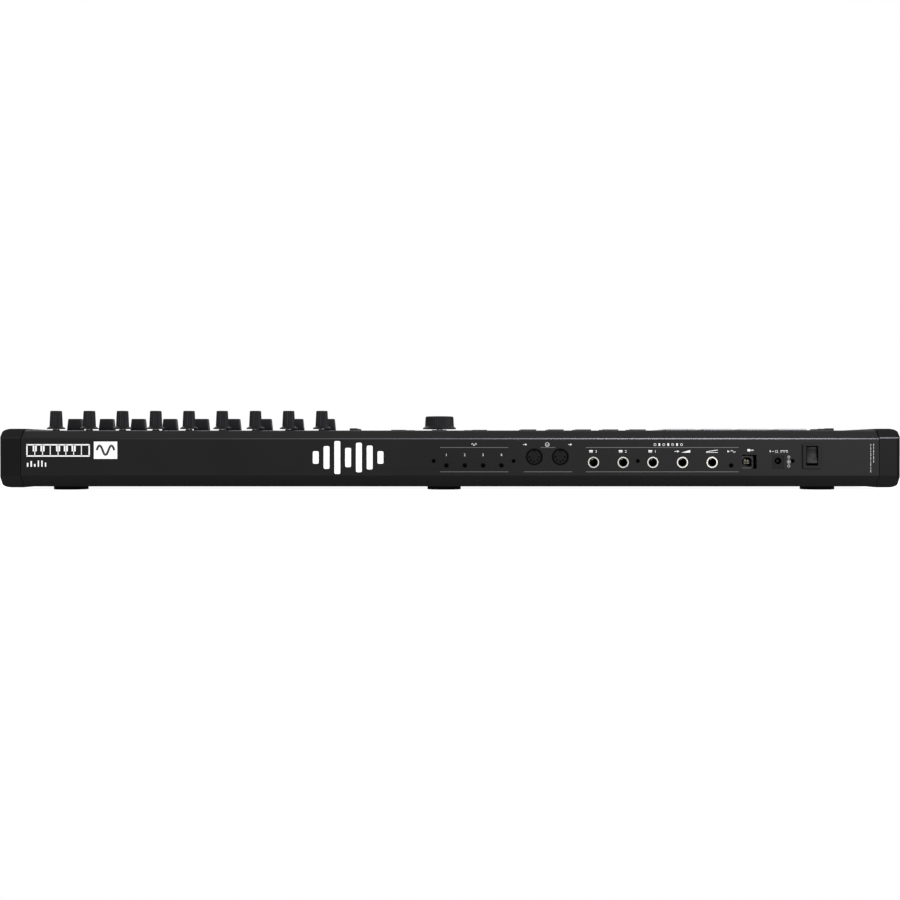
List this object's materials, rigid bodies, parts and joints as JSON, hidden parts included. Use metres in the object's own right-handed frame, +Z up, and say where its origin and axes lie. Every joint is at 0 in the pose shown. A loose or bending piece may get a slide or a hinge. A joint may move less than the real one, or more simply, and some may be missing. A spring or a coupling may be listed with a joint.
{
  "type": "midi keyboard controller",
  "caption": "Low black keyboard controller with hinged piano-style keys, turning knobs, sliding faders, square drum pads, two wheels and a rear panel of round and square sockets.",
  "frame": {"origin": "centre of the footprint, on the surface that the feet stand on", "axes": "+X to the player's right, +Y to the rear, where the sockets are, +Z up"},
  "size_m": [0.793, 0.2984, 0.0706],
  "materials": {
    "panel_paint": "fine-grained satin black paint on sheet metal",
    "cap_plastic": "finely grained black moulding",
    "white_plastic": "smooth semi-gloss white",
    "black_key_plastic": "fine satin black",
    "knob_plastic": "soft-touch black",
    "button_rubber": "matte dark grey silicone",
    "pad_rubber": "pale translucent silicone",
    "bright_metal": "bright plated ring",
    "steel": "plain steel",
    "socket_plastic": "black moulding",
    "board": "green laminate",
    "screen": "dark clear window",
    "screw_black": "black oxide steel",
    "foot_rubber": "matte black rubber",
    "spring_bronze": "phosphor bronze strip",
    "frame_plastic": "dark moulding"
  },
  "bodies": {
    "case": {"top_panel": "panel_paint", "rear_panel": "panel_paint", "base_tray": "panel_paint", "left_end_cap": "cap_plastic", "right_end_cap": "cap_plastic", "wheel_deck": "cap_plastic", "pad_frame": "knob_plastic", "display_window": "screen", "display_module": "steel", "circuit_boards": "board", "rotary_encoders": "steel", "fader_tracks": "steel", "key_frame": "frame_plastic", "key_axle": "steel", "key_springs": "spring_bronze", "contact_domes": "button_rubber", "midi_sockets": "socket_plastic", "jack_sockets": "bright_metal", "mini_jack_sockets": "socket_plastic", "usb_socket": "steel", "power_socket": "socket_plastic", "power_switch_housing": "socket_plastic", "case_screws": "screw_black", "feet": "foot_rubber"},
    "c_keys": {"c_keys": "white_plastic"},
    "d_keys": {"d_keys": "white_plastic"},
    "e_keys": {"e_keys": "white_plastic"},
    "f_keys": {"f_keys": "white_plastic"},
    "g_keys": {"g_keys": "white_plastic"},
    "a_keys": {"a_keys": "white_plastic"},
    "b_keys": {"b_keys": "white_plastic"},
    "c_f_a_sharp_keys": {"c_f_a_sharp_keys": "black_key_plastic"},
    "d_g_sharp_keys": {"d_g_sharp_keys": "black_key_plastic"},
    "knob_1": {"knob_1": "knob_plastic"},
    "knob_2": {"knob_2": "knob_plastic"},
    "knob_3": {"knob_3": "knob_plastic"},
    "knob_4": {"knob_4": "knob_plastic"},
    "knob_5": {"knob_5": "knob_plastic"},
    "knob_6": {"knob_6": "knob_plastic"},
    "knob_7": {"knob_7": "knob_plastic"},
    "knob_8": {"knob_8": "knob_plastic"},
    "knob_9": {"knob_9": "knob_plastic"},
    "fader_1": {"fader_1": "knob_plastic"},
    "fader_2": {"fader_2": "knob_plastic"},
    "fader_3": {"fader_3": "knob_plastic"},
    "fader_4": {"fader_4": "knob_plastic"},
    "fader_5": {"fader_5": "knob_plastic"},
    "fader_6": {"fader_6": "knob_plastic"},
    "fader_7": {"fader_7": "knob_plastic"},
    "fader_8": {"fader_8": "knob_plastic"},
    "fader_9": {"fader_9": "knob_plastic"},
    "main_knob_shaft": {"main_knob_shaft": "steel"},
    "main_knob": {"main_knob": "knob_plastic"},
    "pitch_wheel": {"pitch_wheel": "knob_plastic"},
    "mod_wheel": {"mod_wheel": "knob_plastic"},
    "power_rocker": {"power_rocker": "socket_plastic"},
    "drum_pads": {"drum_pads": "pad_rubber"},
    "command_buttons": {"command_buttons": "button_rubber"},
    "select_buttons": {"select_buttons": "button_rubber"},
    "small_buttons": {"small_buttons": "button_rubber"}
  },
  "joints": [
    {"name": "c_key_press", "type": "hinge", "parent": "case", "child": "c_keys", "pos_m": [0, 0.026, 0.03], "axis": [1, 0, 0], "range_deg": [0, 3.3], "stiffness_Nm_per_rad": 2, "springref_deg": -14.9},
    {"name": "d_key_press", "type": "hinge", "parent": "case", "child": "d_keys", "pos_m": [0, 0.026, 0.03], "axis": [1, 0, 0], "range_deg": [0, 3.3], "stiffness_Nm_per_rad": 1.6, "springref_deg": -14.9},
    {"name": "e_key_press", "type": "hinge", "parent": "case", "child": "e_keys", "pos_m": [0, 0.026, 0.03], "axis": [1, 0, 0], "range_deg": [0, 3.3], "stiffness_Nm_per_rad": 1.6, "springref_deg": -14.9},
    {"name": "f_key_press", "type": "hinge", "parent": "case", "child": "f_keys", "pos_m": [0, 0.026, 0.03], "axis": [1, 0, 0], "range_deg": [0, 3.3], "stiffness_Nm_per_rad": 1.6, "springref_deg": -14.9},
    {"name": "g_key_press", "type": "hinge", "parent": "case", "child": "g_keys", "pos_m": [0, 0.026, 0.03], "axis": [1, 0, 0], "range_deg": [0, 3.3], "stiffness_Nm_per_rad": 1.6, "springref_deg": -14.9},
    {"name": "a_key_press", "type": "hinge", "parent": "case", "child": "a_keys", "pos_m": [0, 0.026, 0.03], "axis": [1, 0, 0], "range_deg": [0, 3.3], "stiffness_Nm_per_rad": 1.6, "springref_deg": -14.9},
    {"name": "b_key_press", "type": "hinge", "parent": "case", "child": "b_keys", "pos_m": [0, 0.026, 0.03], "axis": [1, 0, 0], "range_deg": [0, 3.3], "stiffness_Nm_per_rad": 1.6, "springref_deg": -14.9},
    {"name": "c_f_a_sharp_key_press", "type": "hinge", "parent": "case", "child": "c_f_a_sharp_keys", "pos_m": [0, 0.026, 0.03], "axis": [1, 0, 0], "range_deg": [0, 3.3], "stiffness_Nm_per_rad": 4.8, "springref_deg": -14.9},
    {"name": "d_g_sharp_key_press", "type": "hinge", "parent": "case", "child": "d_g_sharp_keys", "pos_m": [0, 0.026, 0.03], "axis": [1, 0, 0], "range_deg": [0, 3.3], "stiffness_Nm_per_rad": 3.2, "springref_deg": -14.9},
    {"name": "knob_1_turn", "type": "hinge", "parent": "case", "child": "knob_1", "pos_m": [0.1157, 0.119, 0.055], "axis": [0, 0, 1], "continuous": true},
    {"name": "knob_2_turn", "type": "hinge", "parent": "case", "child": "knob_2", "pos_m": [0.1457, 0.119, 0.055], "axis": [0, 0, 1], "continuous": true},
    {"name": "knob_3_turn", "type": "hinge", "parent": "case", "child": "knob_3", "pos_m": [0.1757, 0.119, 0.055], "axis": [0, 0, 1], "continuous": true},
    {"name": "knob_4_turn", "type": "hinge", "parent": "case", "child": "knob_4", "pos_m": [0.2057, 0.119, 0.055], "axis": [0, 0, 1], "continuous": true},
    {"name": "knob_5_turn", "type": "hinge", "parent": "case", "child": "knob_5", "pos_m": [0.2357, 0.119, 0.055], "axis": [0, 0, 1], "continuous": true},
    {"name": "knob_6_turn", "type": "hinge", "parent": "case", "child": "knob_6", "pos_m": [0.2657, 0.119, 0.055], "axis": [0, 0, 1], "continuous": true},
    {"name": "knob_7_turn", "type": "hinge", "parent": "case", "child": "knob_7", "pos_m": [0.2957, 0.119, 0.055], "axis": [0, 0, 1], "continuous": true},
    {"name": "knob_8_turn", "type": "hinge", "parent": "case", "child": "knob_8", "pos_m": [0.3257, 0.119, 0.055], "axis": [0, 0, 1], "continuous": true},
    {"name": "knob_9_turn", "type": "hinge", "parent": "case", "child": "knob_9", "pos_m": [0.3557, 0.119, 0.055], "axis": [0, 0, 1], "continuous": true},
    {"name": "fader_1_slide", "type": "slide", "parent": "case", "child": "fader_1", "axis": [0, 1, 0], "range_m": [-0.015, 0.015]},
    {"name": "fader_2_slide", "type": "slide", "parent": "case", "child": "fader_2", "axis": [0, 1, 0], "range_m": [-0.015, 0.015]},
    {"name": "fader_3_slide", "type": "slide", "parent": "case", "child": "fader_3", "axis": [0, 1, 0], "range_m": [-0.015, 0.015]},
    {"name": "fader_4_slide", "type": "slide", "parent": "case", "child": "fader_4", "axis": [0, 1, 0], "range_m": [-0.015, 0.015]},
    {"name": "fader_5_slide", "type": "slide", "parent": "case", "child": "fader_5", "axis": [0, 1, 0], "range_m": [-0.015, 0.015]},
    {"name": "fader_6_slide", "type": "slide", "parent": "case", "child": "fader_6", "axis": [0, 1, 0], "range_m": [-0.015, 0.015]},
    {"name": "fader_7_slide", "type": "slide", "parent": "case", "child": "fader_7", "axis": [0, 1, 0], "range_m": [-0.015, 0.015]},
    {"name": "fader_8_slide", "type": "slide", "parent": "case", "child": "fader_8", "axis": [0, 1, 0], "range_m": [-0.015, 0.015]},
    {"name": "fader_9_slide", "type": "slide", "parent": "case", "child": "fader_9", "axis": [0, 1, 0], "range_m": [-0.015, 0.015]},
    {"name": "main_knob_press", "type": "slide", "parent": "case", "child": "main_knob_shaft", "axis": [0, 0, 1], "range_m": [-0.0008, 0], "stiffness_N_per_m": 2000, "springref_m": 0.001},
    {"name": "main_knob_turn", "type": "hinge", "parent": "main_knob_shaft", "child": "main_knob", "pos_m": [0.01, 0.059, 0.06], "axis": [0, 0, 1], "continuous": true},
    {"name": "pitch_wheel_turn", "type": "hinge", "parent": "case", "child": "pitch_wheel", "pos_m": [-0.357, -0.07, 0.031], "axis": [1, 0, 0], "range_deg": [-45, 45], "stiffness_Nm_per_rad": 0.06},
    {"name": "mod_wheel_turn", "type": "hinge", "parent": "case", "child": "mod_wheel", "pos_m": [-0.329, -0.07, 0.031], "axis": [1, 0, 0], "range_deg": [-80, 0]},
    {"name": "power_rocker_tip", "type": "hinge", "parent": "case", "child": "power_rocker", "pos_m": [-0.3186, 0.142, 0.03025], "axis": [1, 0, 0], "range_deg": [-16, 0]},
    {"name": "drum_pads_press", "type": "slide", "parent": "case", "child": "drum_pads", "axis": [0, 0, 1], "range_m": [-0.001, 0], "stiffness_N_per_m": 3000, "springref_m": 0.001},
    {"name": "command_buttons_press", "type": "slide", "parent": "case", "child": "command_buttons", "axis": [0, 0, 1], "range_m": [-0.001, 0], "stiffness_N_per_m": 1280, "springref_m": 0.001},
    {"name": "select_buttons_press", "type": "slide", "parent": "case", "child": "select_buttons", "axis": [0, 0, 1], "range_m": [-0.001, 0], "stiffness_N_per_m": 1120, "springref_m": 0.001},
    {"name": "small_buttons_press", "type": "slide", "parent": "case", "child": "small_buttons", "axis": [0, 0, 1], "range_m": [-0.001, 0], "stiffness_N_per_m": 480, "springref_m": 0.001}
  ]
}
